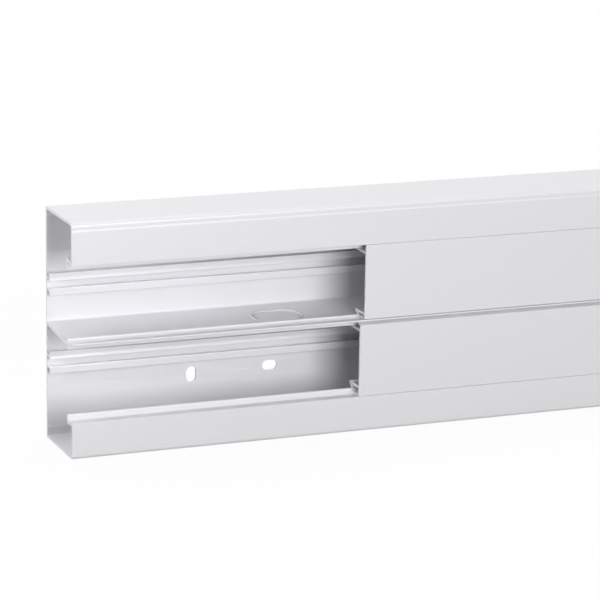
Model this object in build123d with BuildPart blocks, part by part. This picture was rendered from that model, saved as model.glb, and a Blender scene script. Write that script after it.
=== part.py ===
"""Two-compartment wall trunking: one extruded base and two snap-in lids, cut to a stock length."""

from build123d import *
import os

# Overall size. X runs along the length, the front faces -Y and +Z is up
length = 2000.0
depth = 70.0
height = 195.0
wall = 2.4
top_corner_radius = 3.5
bottom_corner_radius = 3.0
back_corner_radius = 1.2
inner_corner_radius = 3.0

# Step across the front just below its top corner
shoulder_drop = 7.6
shoulder_step = 0.45
shoulder_slope = 1.4

# Front strips above and below the two mouths
lower_strip = 30.2
upper_strip = 35.3
strip_edge_radius = 0.4
strip_rib_drop = 12.4
strip_rib_thickness = 1.6
strip_rib_depth = 1.2

# Clip lip behind each mouth's edge: a ledge that ends in a bead with a sloped root
bead_setback = 12.3
bead_thickness = 2.4
lower_bead = 4.5
upper_bead = 5.5
bead_root_depth = 1.5
lower_ledge_fall = 0.6
upper_ledge_rise = 2.2

# Dividing shelf. It slopes down from the back wall to its clip head
shelf_thickness = 2.6
shelf_back_level = 98.4
shelf_front_level = 94.4
shelf_root_radius = 2.0
nose_top = 96.0
nose_height = 1.5
nose_radius = 0.5
shelf_upper_bead = 3.5
shelf_lower_bead = 3.5

# Rails on the back wall: in each compartment a T above and an L below, with a gap to snap into
rail_height = 18.8
rail_depth = 7.6
rail_flange = 6.2
rail_thickness = 1.5
rail_web_offset = 1.3
rail_lip = 0.7
rail_edge_radius = 0.5
rail_nub_height = 2.6
rail_nub_depth = 0.8
upper_rail_level = 131.2
lower_rail_level = 65.3

# Small ribs near the two back corners and the scribed drilling line
corner_rib_thickness = 1.3
corner_rib_depth = 1.2
lower_corner_rib = 8.1
upper_corner_rib = 8.6
drill_line_level = 43.8
drill_line_width = 0.8
drill_line_depth = 0.4

# Fixing slots in the back wall: an upright one and a level one in each pair
slot_length = 13.5
slot_width = 8.8
slot_spacing = 70.5
upright_slot_level = 43.0
level_slot_level = 44.9
first_pair = 160.8
pair_pitch = 330.0

# Scored knock-outs in the shelf, one beside each pair of slots
knockout_length = 43.0
knockout_width = 27.0
score_width = 1.8
score_depth = 0.9
punch_length = 6.0
punch_width = 2.8
punch_inset = 2.6
knockout_setback = 35.0
knockout_offset = 28.4

# Lids
lid_wall = 2.0
lid_corner_radius = 0.4
upper_lid_start = 253.9
lower_lid_start = 250.1
seam = 0.2
nose_gap = 0.35
head_gap = 2.9

# Lid clips: an edge return, and a leg that passes the bead and hooks behind it
clip_gap = 0.3
return_thickness = 1.2
leg_thickness = 1.7
hook_reach = 6.0
hook_tip = 1.0
upper_lid_top_leg = 0.8
upper_lid_top_grip = 1.2
upper_lid_foot_leg = 1.9
upper_lid_foot_grip = 0.8
lower_lid_top_leg = 0.8
lower_lid_top_grip = 1.0
lower_lid_foot_leg = 2.6
lower_lid_foot_grip = 3.0
lower_lid_foot_crest = 1.6
head_return_reach = 6.5
head_return_rise = 1.3

# Levels and setbacks that follow from the sizes above
front = -depth / 2
lower_edge = lower_strip
upper_edge = height - upper_strip
shoulder_level = height - shoulder_drop
nose_bottom = nose_top - nose_height
lower_lid_top = nose_bottom - head_gap
bead_back = bead_setback + bead_thickness
shelf_upper_bead_end = shelf_front_level + shelf_upper_bead
shelf_lower_bead_end = shelf_front_level - wall - shelf_lower_bead
lower_bead_end = lower_edge + lower_bead
upper_bead_end = upper_edge - upper_bead
inner_back = depth - wall
return_reach = bead_setback - bead_root_depth - clip_gap


def bar(near, far, low, high):
    """Add a rectangle between two setbacks from the front and two levels."""
    with Locations((front + near, min(low, high))):
        Rectangle(far - near, abs(high - low), align=(Align.MIN, Align.MIN))


def corner(sketch, setback, level):
    """Find the section's corner at a setback and a level."""
    return sketch.vertices().sort_by_distance((front + setback, level, 0))[0]


def outline(*points):
    """Add a closed shape through points that are each a setback from the front and a level."""
    Polygon(*[(front + setback, level) for setback, level in points], align=None)


def clip_lip(edge, inward, slope, bead_end):
    """Add the sloping ledge and the bead behind a front strip whose free edge is at a level."""
    ledge_back = edge - inward * slope
    outline((0, edge), (bead_back, ledge_back), (bead_back, ledge_back - inward * wall), (0, edge - inward * wall))
    bar(bead_setback, bead_back, ledge_back - inward * wall, bead_end)


def bead_root(level, bead_end):
    """Fill the corner between a ledge and the front of its bead with a slope."""
    outline((bead_setback - bead_root_depth, level), (bead_setback, level), (bead_setback, (level + bead_end) / 2))


def rail(level):
    """Add a T and an L below it to the back wall, each with a nub along the gap between them."""
    face = inner_back - rail_depth
    top = level + rail_height / 2
    bottom = level - rail_height / 2
    gap_top = top - rail_flange
    gap_bottom = bottom + rail_flange
    bar(face, face + rail_thickness, gap_top, top)
    bar(face, inner_back, gap_top + rail_web_offset, gap_top + rail_web_offset + rail_thickness)
    bar(face, face + rail_thickness, bottom, gap_bottom)
    bar(face, inner_back, gap_bottom - rail_lip - rail_thickness, gap_bottom - rail_lip)
    for nub_foot, nub_height in ((gap_top, rail_nub_height), (gap_bottom - rail_lip, rail_lip)):
        outline(
            (face, nub_foot + nub_height),
            (face - rail_nub_depth * nub_height / rail_nub_height, nub_foot + 0.1 * nub_height),
            (face, nub_foot),
        )


def edge_return(edge, inward, reach, slope=0.0):
    """Add a lid's thin return along one edge, sloping outwards."""
    inner = inward * return_thickness
    outline((0, edge), (reach, edge - inward * slope), (reach, edge - inward * slope + inner), (0, edge + inner))


def lid_clip(inward, bead_end, leg_gap, grip, crest=0.0):
    """Add a lid's leg past the end of a bead, and the hook behind it."""
    leg_near = bead_end + inward * leg_gap
    leg_far = leg_near + inward * leg_thickness
    hook_end = bead_end - inward * grip
    hook_face = bead_back + clip_gap
    bar(0, hook_face + hook_reach, leg_near, leg_far)
    outline(
        (hook_face, leg_far),
        (hook_face, hook_end),
        (hook_face + hook_tip, hook_end),
        (hook_face + hook_reach, leg_near),
        (hook_face + hook_reach, leg_far),
        (hook_face + hook_tip, leg_far + inward * crest),
        (hook_face, leg_far + inward * crest),
    )


def round_lid(sketch, low, high):
    """Round a lid's two outer edges."""
    fillet([corner(sketch, 0, low), corner(sketch, 0, high)], radius=lid_corner_radius)


# Base: the extruded section
with BuildPart() as trunking_base:
    with BuildSketch(Plane.YZ) as section:
        bar(inner_back, depth, 0, height)
        bar(0, depth, 0, wall)
        bar(shoulder_step, depth, height - wall, height)
        bar(0, wall, 0, lower_edge - wall)
        outline(
            (0, upper_edge + wall),
            (0, shoulder_level),
            (shoulder_step, shoulder_level + shoulder_slope),
            (shoulder_step, height),
            (wall, height),
            (wall, upper_edge + wall),
        )
        clip_lip(lower_edge, 1, lower_ledge_fall, lower_bead_end)
        bead_root(lower_edge - lower_ledge_fall, lower_bead_end)
        clip_lip(upper_edge, -1, upper_ledge_rise, upper_bead_end)
        rail(upper_rail_level)
        rail(lower_rail_level)
        strip_rib_level = height - strip_rib_drop
        bar(0, wall + strip_rib_depth, strip_rib_level, strip_rib_level + strip_rib_thickness)
        for rib_level in (lower_corner_rib, height - upper_corner_rib):
            bar(inner_back - corner_rib_depth, depth, rib_level, rib_level + corner_rib_thickness)

        # Dividing shelf, its head and its two beads
        outline(
            (inner_back, shelf_back_level),
            (inner_back, shelf_back_level - shelf_thickness),
            (bead_setback, shelf_front_level - wall),
            (0, nose_bottom),
            (0, nose_top),
            (bead_setback, shelf_front_level),
        )
        bar(bead_setback, bead_back, shelf_lower_bead_end, shelf_upper_bead_end)
        bead_root(shelf_front_level, shelf_upper_bead_end)

        # Rounded corners of the section
        fillet([corner(section, shoulder_step, height)], radius=top_corner_radius)
        fillet([corner(section, wall, height - wall)], radius=inner_corner_radius)
        fillet([corner(section, 0, 0)], radius=bottom_corner_radius)
        fillet([corner(section, depth, 0), corner(section, depth, height)], radius=back_corner_radius)
        fillet([corner(section, 0, lower_edge), corner(section, 0, upper_edge)], radius=strip_edge_radius)
        fillet([corner(section, 0, nose_bottom), corner(section, 0, nose_top)], radius=nose_radius)
        shelf_roots = [
            corner(section, inner_back, shelf_back_level),
            corner(section, inner_back, shelf_back_level - shelf_thickness),
        ]
        fillet(shelf_roots, radius=shelf_root_radius)
        bead_tips = [
            corner(section, setback, level)
            for setback in (bead_setback, bead_back)
            for level in (
                lower_bead_end,
                upper_bead_end,
                shelf_upper_bead_end,
                shelf_lower_bead_end,
            )
        ]
        fillet(bead_tips, radius=0.45 * bead_thickness)
        rail_corners = [
            corner(section, inner_back - rail_depth, level + side * rail_height / 2)
            for level in (upper_rail_level, lower_rail_level)
            for side in (-1, 1)
        ]
        fillet(rail_corners, radius=rail_edge_radius)
    extrude(amount=length / 2, both=True)

    # Scribed line on the inside of the back wall
    with BuildSketch(Plane.YZ) as drill_line:
        bar(inner_back, inner_back + drill_line_depth, drill_line_level - drill_line_width / 2,
            drill_line_level + drill_line_width / 2)
    extrude(amount=length / 2, both=True, mode=Mode.SUBTRACT)

    # Fixing slots and knock-outs, in pairs along the length
    pair_count = int((length - 2 * first_pair) / pair_pitch) + 1
    pair_centres = [first_pair - length / 2 + pair_pitch * i for i in range(pair_count)]
    with BuildSketch(Plane.XZ.offset(-depth / 2)) as fixing_slots:
        with Locations(*[(x - slot_spacing / 2, upright_slot_level) for x in pair_centres]):
            SlotOverall(slot_length, slot_width, rotation=90)
        with Locations(*[(x + slot_spacing / 2, level_slot_level) for x in pair_centres]):
            SlotOverall(slot_length, slot_width)
    extrude(amount=2 * wall, mode=Mode.SUBTRACT)

    shelf_run = inner_back - bead_setback
    shelf_rise = shelf_back_level - shelf_front_level
    knockout_level = shelf_front_level + shelf_rise * (knockout_setback - bead_setback) / shelf_run
    shelf_top = Plane(
        origin=(0, front + knockout_setback, knockout_level),
        x_dir=(1, 0, 0),
        z_dir=(0, -shelf_rise, shelf_run),
    )
    knockout_spots = [(x + knockout_offset, 0) for x in pair_centres]
    with BuildSketch(shelf_top) as scores:
        with Locations(*knockout_spots):
            SlotOverall(knockout_length, knockout_width)
            SlotOverall(knockout_length - 2 * score_width, knockout_width - 2 * score_width, mode=Mode.SUBTRACT)
    extrude(amount=-score_depth, mode=Mode.SUBTRACT)
    with BuildSketch(shelf_top) as punches:
        for side in (-1, 1):
            offset_x = side * (knockout_length / 2 - punch_inset)
            with Locations(*[(x + offset_x, y) for x, y in knockout_spots]):
                Rectangle(punch_width, punch_length)
    extrude(amount=-2 * shelf_thickness, mode=Mode.SUBTRACT)

# Upper lid: from its cut end to the right-hand end of the base
with BuildPart() as upper_lid:
    with BuildSketch(Plane.YZ.offset(upper_lid_start - length / 2)) as upper_section:
        upper_lid_foot = nose_top + nose_gap
        upper_lid_top = upper_edge - seam
        bar(0, lid_wall, upper_lid_foot, upper_lid_top)
        edge_return(upper_lid_foot, 1, return_reach)
        edge_return(upper_lid_top, -1, return_reach, upper_ledge_rise * return_reach / bead_back)
        lid_clip(1, shelf_upper_bead_end, upper_lid_foot_leg, upper_lid_foot_grip)
        lid_clip(-1, upper_bead_end, upper_lid_top_leg, upper_lid_top_grip)
        round_lid(upper_section, upper_lid_foot, upper_lid_top)
    extrude(amount=length - upper_lid_start)

# Lower lid
with BuildPart() as lower_lid:
    with BuildSketch(Plane.YZ.offset(lower_lid_start - length / 2)) as lower_section:
        lower_lid_foot = lower_edge + seam
        bar(0, lid_wall, lower_lid_foot, lower_lid_top)
        edge_return(lower_lid_foot, 1, return_reach)
        edge_return(lower_lid_top, -1, head_return_reach, head_return_rise)
        lid_clip(1, lower_bead_end, lower_lid_foot_leg, lower_lid_foot_grip, lower_lid_foot_crest)
        lid_clip(-1, shelf_lower_bead_end, lower_lid_top_leg, lower_lid_top_grip)
        round_lid(lower_section, lower_lid_foot, lower_lid_top)
    extrude(amount=length - lower_lid_start)

os.makedirs("parts", exist_ok=True)
trunking_base.part.label = "trunking_base"
export_step(trunking_base.part, "parts/trunking_base.step")
upper_lid.part.label = "upper_lid"
export_step(upper_lid.part, "parts/upper_lid.step")
lower_lid.part.label = "lower_lid"
export_step(lower_lid.part, "parts/lower_lid.step")
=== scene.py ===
"""Looks of the two-compartment wall trunking: white extruded plastic on a plain white floor."""

import math
from typing import NamedTuple

import bmesh
import bpy
from mathutils import Matrix, Vector


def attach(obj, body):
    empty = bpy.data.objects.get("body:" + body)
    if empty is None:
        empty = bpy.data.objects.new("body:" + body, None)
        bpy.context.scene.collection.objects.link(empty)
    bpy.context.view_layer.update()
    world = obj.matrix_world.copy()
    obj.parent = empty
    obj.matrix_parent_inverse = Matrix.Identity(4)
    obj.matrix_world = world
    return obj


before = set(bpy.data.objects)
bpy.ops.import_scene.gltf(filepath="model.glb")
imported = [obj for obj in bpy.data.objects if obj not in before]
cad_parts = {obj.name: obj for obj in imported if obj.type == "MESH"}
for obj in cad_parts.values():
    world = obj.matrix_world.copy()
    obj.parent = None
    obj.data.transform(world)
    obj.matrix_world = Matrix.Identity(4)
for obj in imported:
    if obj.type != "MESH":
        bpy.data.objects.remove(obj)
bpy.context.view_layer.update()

WHITE = (1.0, 1.0, 1.0, 1.0)

# The view that the photograph gives, with angles in degrees
CAMERA_PLACE = (-1.68496, -2.19536, 0.69633)
CAMERA_TURN = 22.172
CAMERA_DIP = 13.933
CAMERA_ROLL = 0.939
FOCAL_IN_PIXELS = 2931.3
PICTURE_PIXELS = 600
SENSOR_MM = 36.0
SIGHT = 50.0

# The plastic in plain light
BASE_COLOUR = (0.878, 0.875, 0.904)
LID_COLOUR = (0.873, 0.87, 0.899)
PLASTIC_IOR = 1.5
ROUGHNESS = 0.26

# Draw lines run along the length, so they change slowly there and quickly across it
DRAW_LINES = (1.2, 900.0, 900.0)
DRAW_LINE_DETAIL = 2.0
DRAW_LINE_DEPTH = 0.0002
DRAW_LINE_STRENGTH = 0.04
DRAW_LINE_ROUGHNESS = 0.06

# A face is a sawn end where its normal points along the length by more than this
SAWN_FACING = 0.9
SAWN_ROUGHNESS = 0.3

# Knock-outs in the shelf: the punch leaves a fine rim round the scored line. The corners of its
# section are given as distance outside the scored line and level above the shelf
KNOCKOUT_COUNT = 6
KNOCKOUT_PITCH = 0.33
FIRST_KNOCKOUT = (-0.8108, 0.0, 0.096042)
SHELF_RISE = 4.0
SHELF_RUN = 55.3
SHELF_SLOPE = math.atan2(SHELF_RISE, SHELF_RUN)
SCORE_RADIUS = 0.0135
SCORE_STRAIGHT = 0.008
RIM_SECTION = ((0.00002, -0.0003), (0.00015, 0.0008), (0.0013, -0.0001))
RIM_STEPS = 20

# The floor is seen as white, keeps the shadow near the trunking and gives back little light
FLOOR_REACH = 12.0
FLOOR_BOUNCE = 0.3
FLOOR_WHITE = 0.93
FLOOR_NEAR = 0.25
FLOOR_FAR = 1.0


class SoftBox(NamedTuple):
    """A lamp that faces a place on the trunking, with lengths in metres and angles in degrees."""

    name: str
    facing: float  # the place along the length
    side: float  # angle to the right of the wall's normal
    rise: float  # angle above the floor
    away: float  # distance from the place
    wide: float
    tall: float
    power: float
    spread: float = 180.0
    lights: bool = True  # it lights the plastic
    glints: bool = True  # it shows in the gloss


LAMP_LEVEL = 0.1
SOFT_BOXES = [
    # At the open end, as in the photograph
    SoftBox("key", -1.0, 10.6, 10.0, 1.5, 0.78, 0.8, 14.1),
    SoftBox("open_end", -1.0, -59.0, 21.0, 0.6, 0.35, 0.35, 0.8),
    SoftBox("far_end", -1.0, -82.0, 23.0, 1.4, 0.7, 0.7, 8.2),
    SoftBox("rear_top", -1.0, 168.0, 72.0, 1.6, 2.2, 1.4, 21.0, glints=False),
    SoftBox("edge_glint", -1.0, 26.0, 13.0, 1.6, 0.9, 0.3, 5.3, lights=False),
    # Along the rest of the length and behind
    SoftBox("middle_front", 0.42, 0.0, 10.0, 1.5, 0.8, 0.8, 1.45, spread=80.0),
    SoftBox("right_front", 1.0, 0.0, 10.0, 1.5, 0.8, 0.8, 2.0, spread=80.0),
    SoftBox("right_top", 0.85, 180.0, 72.0, 1.6, 1.4, 0.8, 2.9, spread=90.0, glints=False),
    SoftBox("right_end", 1.0, 82.0, 20.0, 1.4, 0.7, 0.7, 7.0),
    SoftBox("back", 0.2, 180.0, 4.0, 2.0, 2.6, 0.24, 26.0, glints=False),
]


class Value:
    """What a node gives: a number or colour that changes over a surface, a shader or a shape."""

    def __init__(self, nodes, socket):
        self.nodes = nodes
        self.socket = socket

    def _math(self, operation, *numbers):
        return self.nodes.node("ShaderNodeMath", {"operation": operation}, dict(enumerate(numbers)))

    def __add__(self, other):
        return self._math("ADD", self, other)

    __radd__ = __add__

    def __mul__(self, other):
        return self._math("MULTIPLY", self, other)

    __rmul__ = __mul__

    def __gt__(self, other):
        return self._math("GREATER_THAN", self, other)

    def __abs__(self):
        return self._math("ABSOLUTE", self)


class Nodes:
    """A node tree that is being put together."""

    def __init__(self, tree):
        self.tree = tree
        self.tree.nodes.clear()

    def node(self, kind, settings=None, inputs=None, output=0):
        """Add a node with its settings and inputs, and return one of its outputs."""
        made = self.tree.nodes.new(kind)
        for key, value in (settings or {}).items():
            setattr(made, key, value)
        for key, value in (inputs or {}).items():
            if isinstance(value, Value):
                self.tree.links.new(value.socket, made.inputs[key])
            else:
                made.inputs[key].default_value = value
        return None if output is None else Value(self, made.outputs[output])


def new_material(name):
    """Make a material with an empty tree."""
    material = bpy.data.materials.new(name)
    material.use_nodes = True
    return material, Nodes(material.node_tree)


def extruded_plastic(name, colour):
    """Smooth extrusion: faint draw lines along its length, and rougher where it was sawn."""
    material, finish = new_material(name)
    place = finish.node("ShaderNodeTexCoord", output="Object")
    normal = finish.node("ShaderNodeNewGeometry", output="Normal")
    along = finish.node("ShaderNodeSeparateXYZ", inputs={"Vector": normal}, output="X")
    sawn = abs(along) > SAWN_FACING
    stretched = finish.node("ShaderNodeMapping", inputs={"Vector": place, "Scale": DRAW_LINES})
    draw_lines = finish.node(
        "ShaderNodeTexNoise",
        inputs={"Vector": stretched, "Scale": 1.0, "Detail": DRAW_LINE_DETAIL},
    )
    bump = finish.node(
        "ShaderNodeBump",
        inputs={
            "Height": draw_lines,
            "Strength": DRAW_LINE_STRENGTH,
            "Distance": DRAW_LINE_DEPTH,
        },
    )
    plastic = finish.node(
        "ShaderNodeBsdfPrincipled",
        inputs={
            "Base Color": (*colour, 1.0),
            "Roughness": ROUGHNESS + DRAW_LINE_ROUGHNESS * draw_lines + SAWN_ROUGHNESS * sawn,
            "IOR": PLASTIC_IOR,
            "Normal": bump,
        },
    )
    finish.node("ShaderNodeOutputMaterial", inputs={"Surface": plastic}, output=None)
    return material


def paint(node, material):
    """Give a CAD node its finish."""
    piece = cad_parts[node]
    piece.data.materials.clear()
    piece.data.materials.append(material)


def show(name, data):
    """Put new data into the scene as an object."""
    shown = bpy.data.objects.new(name, data)
    bpy.context.scene.collection.objects.link(shown)
    return shown


def rim_section(degrees):
    """Corners of the first knock-out's rim where it is cut at an angle round its end."""
    angle = math.radians(degrees)
    end = math.copysign(SCORE_STRAIGHT, math.cos(angle))
    middle_x, middle_y, middle_z = FIRST_KNOCKOUT
    corners = []
    for outside, level in RIM_SECTION:
        reach = SCORE_RADIUS + outside
        inward = reach * math.sin(angle)
        corners.append((
            middle_x + end + reach * math.cos(angle),
            middle_y + inward * math.cos(SHELF_SLOPE) - level * math.sin(SHELF_SLOPE),
            middle_z + inward * math.sin(SHELF_SLOPE) + level * math.cos(SHELF_SLOPE),
        ))
    return corners


def first_rim():
    """Mesh of the closed rim round the first knock-out."""
    mesh = bmesh.new()
    steps = [180.0 * (i + 0.5) / RIM_STEPS - 90.0 for i in range(RIM_STEPS)]
    angles = steps + [180.0 + step for step in steps]
    cuts = [[mesh.verts.new(corner) for corner in rim_section(angle)] for angle in angles]
    for near, far in zip(cuts, cuts[1:] + cuts[:1]):
        for i, j in ((0, 1), (1, 2), (2, 0)):
            mesh.faces.new((near[i], near[j], far[j], far[i]))
    bmesh.ops.recalc_face_normals(mesh, faces=mesh.faces)
    data = bpy.data.meshes.new("first_rim")
    mesh.to_mesh(data)
    mesh.free()
    return data


def repeat_tree(material):
    """Geometry nodes that repeat a mesh along the length, and the identifiers of their inputs."""
    tree = bpy.data.node_groups.new("repeat_along", "GeometryNodeTree")
    wanted = {"Mesh": "Geometry", "Count": "Int", "Pitch": "Float"}
    identifiers = {
        name: tree.interface.new_socket(
            name, in_out="INPUT", socket_type=f"NodeSocket{kind}"
        ).identifier
        for name, kind in wanted.items()
    }
    tree.interface.new_socket("Mesh", in_out="OUTPUT", socket_type="NodeSocketGeometry")
    shape = Nodes(tree)
    pattern, count, pitch = (shape.node("NodeGroupInput", output=name) for name in wanted)
    step = shape.node("ShaderNodeCombineXYZ", inputs={"X": pitch})
    spots = shape.node("GeometryNodeMeshLine", inputs={"Count": count, "Offset": step})
    copies = shape.node(
        "GeometryNodeInstanceOnPoints", inputs={"Points": spots, "Instance": pattern}
    )
    real = shape.node("GeometryNodeRealizeInstances", inputs={"Geometry": copies})
    finished = shape.node(
        "GeometryNodeSetMaterial", inputs={"Geometry": real, "Material": material}
    )
    shape.node("NodeGroupOutput", inputs={"Mesh": finished}, output=None)
    return tree, identifiers


def add_rims(material):
    """Put the fine rim round the scored line of every knock-out."""
    tree, identifiers = repeat_tree(material)
    pattern = show("rim_pattern", first_rim())
    repeat = pattern.modifiers.new("repeat", "NODES")
    repeat.node_group = tree
    repeat[identifiers["Count"]] = KNOCKOUT_COUNT
    repeat[identifiers["Pitch"]] = KNOCKOUT_PITCH
    graph = bpy.context.evaluated_depsgraph_get()
    mesh = bpy.data.meshes.new_from_object(pattern.evaluated_get(graph), depsgraph=graph)
    bpy.data.objects.remove(pattern)
    rims = show("knockout_rims", mesh)
    mesh.materials.clear()
    mesh.materials.append(material)
    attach(rims, "root")


def set_camera():
    """Stand the camera where the photograph was taken from."""
    data = bpy.data.cameras.new("camera")
    data.sensor_width = SENSOR_MM
    data.lens = FOCAL_IN_PIXELS / PICTURE_PIXELS * SENSOR_MM
    data.clip_end = SIGHT
    camera = show("camera", data)
    turn = Matrix.Rotation(math.radians(-CAMERA_TURN), 4, "Z")
    dip = Matrix.Rotation(math.radians(90 - CAMERA_DIP), 4, "X")
    roll = Matrix.Rotation(math.radians(CAMERA_ROLL), 4, "Z")
    camera.matrix_world = Matrix.Translation(CAMERA_PLACE) @ turn @ dip @ roll
    bpy.context.scene.camera = camera


def add_lamp(box):
    """Hang a soft box."""
    data = bpy.data.lights.new(box.name, "AREA")
    data.shape = "RECTANGLE"
    data.size = box.wide
    data.size_y = box.tall
    data.spread = math.radians(box.spread)
    data.energy = box.power
    lamp = show(box.name, data)
    side, rise = math.radians(box.side), math.radians(box.rise)
    outward = Vector((
        math.sin(side) * math.cos(rise),
        -math.cos(side) * math.cos(rise),
        math.sin(rise),
    ))
    place = Vector((box.facing, 0.0, LAMP_LEVEL)) + box.away * outward
    turned = (-outward).to_track_quat("-Z", "Y").to_matrix().to_4x4()
    lamp.matrix_world = Matrix.Translation(place) @ turned
    lamp.visible_diffuse = box.lights
    lamp.visible_glossy = box.glints


def seen_directly(finish):
    """1 for a ray from the camera, a reflection or clear plastic, and 0 for light itself."""
    straight = finish.node("ShaderNodeLightPath", output="Is Camera Ray")
    mirrored = finish.node("ShaderNodeLightPath", output="Is Glossy Ray")
    through = finish.node("ShaderNodeLightPath", output="Is Transmission Ray")
    return straight + mirrored + through


def set_world():
    """Surround the part with white that is seen but gives no light."""
    world = bpy.data.worlds.new("studio")
    bpy.context.scene.world = world
    world.use_nodes = True
    finish = Nodes(world.node_tree)
    white = finish.node(
        "ShaderNodeBackground", inputs={"Color": WHITE, "Strength": seen_directly(finish)}
    )
    finish.node("ShaderNodeOutputWorld", inputs={"Surface": white}, output=None)


def floor_finish():
    """White floor that keeps the part's shadow near it and gives back less light than it shows."""
    material, finish = new_material("floor_white")
    seen = seen_directly(finish)
    place = finish.node("ShaderNodeTexCoord", output="Object")
    across = finish.node("ShaderNodeSeparateXYZ", inputs={"Vector": place}, output="Y")
    far = finish.node(
        "ShaderNodeMapRange",
        {"interpolation_type": "SMOOTHSTEP"},
        {"Value": abs(across), "From Min": FLOOR_NEAR, "From Max": FLOOR_FAR},
    )
    tone = FLOOR_BOUNCE + (1.0 - FLOOR_BOUNCE) * seen
    matt = finish.node("ShaderNodeBsdfDiffuse", inputs={"Color": tone})
    white = finish.node("ShaderNodeEmission", inputs={"Color": WHITE, "Strength": 1.0})
    shown = seen * (FLOOR_WHITE + (1.0 - FLOOR_WHITE) * far)
    mixed = finish.node("ShaderNodeMixShader", inputs={0: shown, 1: matt, 2: white})
    finish.node("ShaderNodeOutputMaterial", inputs={"Surface": mixed}, output=None)
    return material


def add_floor():
    """Lay a wide plain floor under the trunking."""
    low, high = -FLOOR_REACH, FLOOR_REACH
    corners = [(low, low, 0), (high, low, 0), (high, high, 0), (low, high, 0)]
    mesh = bpy.data.meshes.new("floor")
    mesh.from_pydata(corners, [], [(0, 1, 2, 3)])
    mesh.materials.append(floor_finish())
    floor = show("floor", mesh)


base_plastic = extruded_plastic("base_plastic", BASE_COLOUR)
lid_plastic = extruded_plastic("lid_plastic", LID_COLOUR)
paint("trunking_base", base_plastic)
paint("upper_lid", lid_plastic)
paint("lower_lid", lid_plastic)
add_rims(base_plastic)

set_camera()
set_world()
for soft_box in SOFT_BOXES:
    add_lamp(soft_box)
add_floor()
bpy.context.scene.view_settings.view_transform = "Standard"
